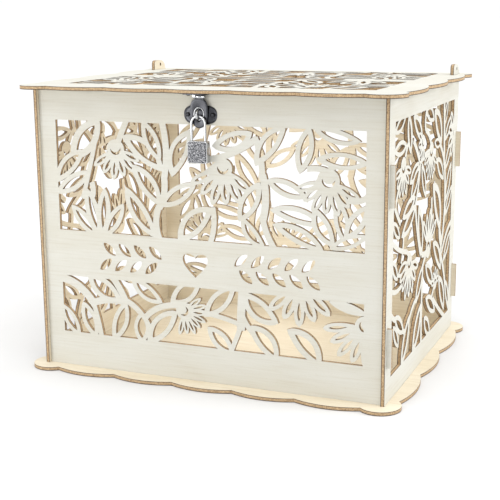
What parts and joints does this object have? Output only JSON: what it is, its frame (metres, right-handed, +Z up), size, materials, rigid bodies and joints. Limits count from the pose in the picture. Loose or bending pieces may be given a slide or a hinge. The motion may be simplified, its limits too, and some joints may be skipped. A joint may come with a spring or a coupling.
{
  "type": "wedding card box",
  "caption": "Laser-cut plywood card box with floral fretwork walls, a scalloped lid hinged at the back, and a small padlocked hasp at the front.",
  "frame": {"origin": "centre of the box's underside, on the surface it stands on", "axes": "+X to the right seen from the front, +Y towards the lid's hinge at the back, +Z up"},
  "size_m": [0.326, 0.26, 0.249],
  "materials": {
    "plywood": "unfinished birch plywood, laser-browned cut edges",
    "hasp_steel": "dark satin pressed steel",
    "chrome_wire": "bright chrome plate",
    "padlock_nickel": "nickel-plated, polished",
    "padlock_glitter": "grey glitter-grained plate",
    "plug_brass": "turned brass"
  },
  "bodies": {
    "box": {"base_plate": "plywood", "front_panel": "plywood", "back_panel": "plywood", "left_panel": "plywood", "right_panel": "plywood", "hasp_plate": "hasp_steel", "hasp_staple": "chrome_wire", "plate_screw_left": "chrome_wire", "plate_screw_right": "chrome_wire"},
    "lid": {"lid_panel": "plywood", "hasp_leaf": "hasp_steel", "hasp_pin": "chrome_wire", "leaf_screw_left": "chrome_wire", "leaf_screw_right": "chrome_wire"},
    "flap": {"hasp_flap": "hasp_steel"},
    "shackle": {"padlock_shackle": "chrome_wire"},
    "padlock": {"padlock_body": "padlock_nickel", "padlock_face": "padlock_glitter", "padlock_stop_pin": "padlock_nickel"},
    "key_plug": {"padlock_plug": "plug_brass"},
    "lock_bolt": {"padlock_bolt": "padlock_nickel"}
  },
  "joints": [
    {"name": "lid_hinge", "type": "hinge", "parent": "box", "child": "lid", "pos_m": [0, 0.118, 0.237], "axis": [-1, 0, 0], "range_deg": [0, 90]},
    {"name": "flap_hinge", "type": "hinge", "parent": "lid", "child": "flap", "pos_m": [-0.001, -0.1167, 0.234], "axis": [1, 0, 0], "range_deg": [0, 90]},
    {"name": "padlock_swing", "type": "hinge", "parent": "box", "child": "shackle", "pos_m": [-0.001, -0.1187, 0.21915], "axis": [-1, 0, 0], "range_deg": [0, 90]},
    {"name": "padlock_release", "type": "slide", "parent": "shackle", "child": "padlock", "axis": [0, 0, -1], "range_m": [0, 0.006]},
    {"name": "key_plug_turn", "type": "hinge", "parent": "padlock", "child": "key_plug", "pos_m": [-0.001, -0.1187, 0.19], "axis": [0, 0, 1], "range_deg": [0, 90]},
    {"name": "bolt_slide", "type": "slide", "parent": "padlock", "child": "lock_bolt", "axis": [-1, 0, 0], "range_m": [0, 0.0012]}
  ],
  "couplings": [
    {"joint": "flap_hinge", "follows": "lid_hinge", "ratio": 1},
    {"joint": "key_plug_turn", "follows": "bolt_slide", "rad_per_m": 1309}
  ]
}
